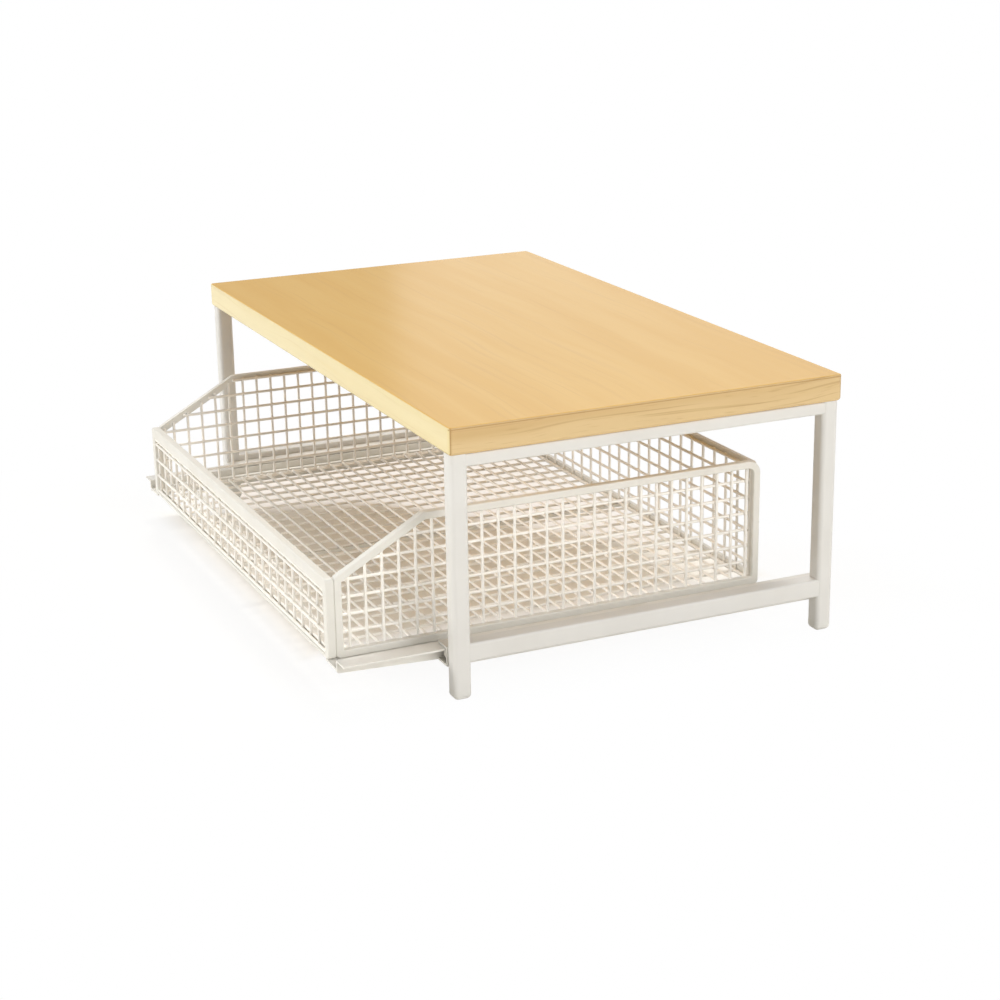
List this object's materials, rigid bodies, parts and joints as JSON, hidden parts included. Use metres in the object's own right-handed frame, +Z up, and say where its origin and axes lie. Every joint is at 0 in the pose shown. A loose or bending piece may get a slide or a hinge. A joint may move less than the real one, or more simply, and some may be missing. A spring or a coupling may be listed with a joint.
{
  "type": "countertop drawer organizer",
  "caption": "Low countertop stand with a wooden top board on white tube side frames and a wire mesh drawer that pulls out from under it on roller runners.",
  "frame": {"origin": "on the surface the feet stand on, below the middle of the whole object with the drawer pulled out as far as the picture shows", "axes": "+Z up, +Y to the back, +X to the right of someone facing the drawer; the drawer pulls out along -Y"},
  "size_m": [0.42, 0.3034, 0.156],
  "materials": {
    "board_wood": "satin lacquered pale wood with fine straight grain",
    "frame_paint": "warm white powder coat",
    "foot_plastic": "matt warm white moulded plastic",
    "runner_paint": "thin warm white baked enamel on folded sheet",
    "drawer_paint": "cream white powder coat",
    "mesh_paint": "cream white powder coat on wire",
    "roller_nylon": "natural white nylon",
    "screw_steel": "zinc plated"
  },
  "bodies": {
    "stand": {"front_left_leg": "frame_paint", "front_left_foot": "foot_plastic", "rear_left_leg": "frame_paint", "rear_left_foot": "foot_plastic", "left_top_rail": "frame_paint", "left_lower_rail": "frame_paint", "left_fixed_runner": "runner_paint", "front_right_leg": "frame_paint", "front_right_foot": "foot_plastic", "rear_right_leg": "frame_paint", "rear_right_foot": "foot_plastic", "right_top_rail": "frame_paint", "right_lower_rail": "frame_paint", "right_fixed_runner": "runner_paint", "top_board": "board_wood", "rear_top_rail": "frame_paint", "board_screws": "screw_steel", "runner_screws": "screw_steel", "front_roller_axles": "screw_steel"},
    "drawer": {"left_drawer_runner": "runner_paint", "left_side_rim": "drawer_paint", "left_side_mesh": "mesh_paint", "left_floor_mesh": "mesh_paint", "right_drawer_runner": "runner_paint", "right_side_rim": "drawer_paint", "right_side_mesh": "mesh_paint", "right_floor_mesh": "mesh_paint", "front_rim": "drawer_paint", "back_rim": "drawer_paint", "front_mesh": "mesh_paint", "back_mesh": "mesh_paint", "floor_centre_bar": "drawer_paint", "rear_roller_axles": "screw_steel", "runner_rivets": "screw_steel"},
    "front_left_roller": {"front_left_roller": "roller_nylon"},
    "rear_left_roller": {"rear_left_roller": "roller_nylon"},
    "front_right_roller": {"front_right_roller": "roller_nylon"},
    "rear_right_roller": {"rear_right_roller": "roller_nylon"}
  },
  "joints": [
    {"name": "drawer_slide", "type": "slide", "parent": "stand", "child": "drawer", "axis": [0, -1, 0], "range_m": [-0.0285, 0.1415]},
    {"name": "front_left_roller_spin", "type": "hinge", "parent": "stand", "child": "front_left_roller", "pos_m": [-0.1935, -0.08725, 0.0221], "axis": [1, 0, 0], "range_deg": [-455, 2254]},
    {"name": "rear_left_roller_spin", "type": "hinge", "parent": "drawer", "child": "rear_left_roller", "pos_m": [-0.1893, 0.11715, 0.0221], "axis": [1, 0, 0], "range_deg": [-455, 2254]},
    {"name": "front_right_roller_spin", "type": "hinge", "parent": "stand", "child": "front_right_roller", "pos_m": [0.1935, -0.08725, 0.0221], "axis": [1, 0, 0], "range_deg": [-455, 2254]},
    {"name": "rear_right_roller_spin", "type": "hinge", "parent": "drawer", "child": "rear_right_roller", "pos_m": [0.1893, 0.11715, 0.0221], "axis": [1, 0, 0], "range_deg": [-455, 2254]}
  ],
  "couplings": [
    {"joint": "front_left_roller_spin", "follows": "drawer_slide", "rad_per_m": 277.78},
    {"joint": "rear_left_roller_spin", "follows": "drawer_slide", "rad_per_m": 277.78},
    {"joint": "front_right_roller_spin", "follows": "drawer_slide", "rad_per_m": 277.78},
    {"joint": "rear_right_roller_spin", "follows": "drawer_slide", "rad_per_m": 277.78}
  ]
}
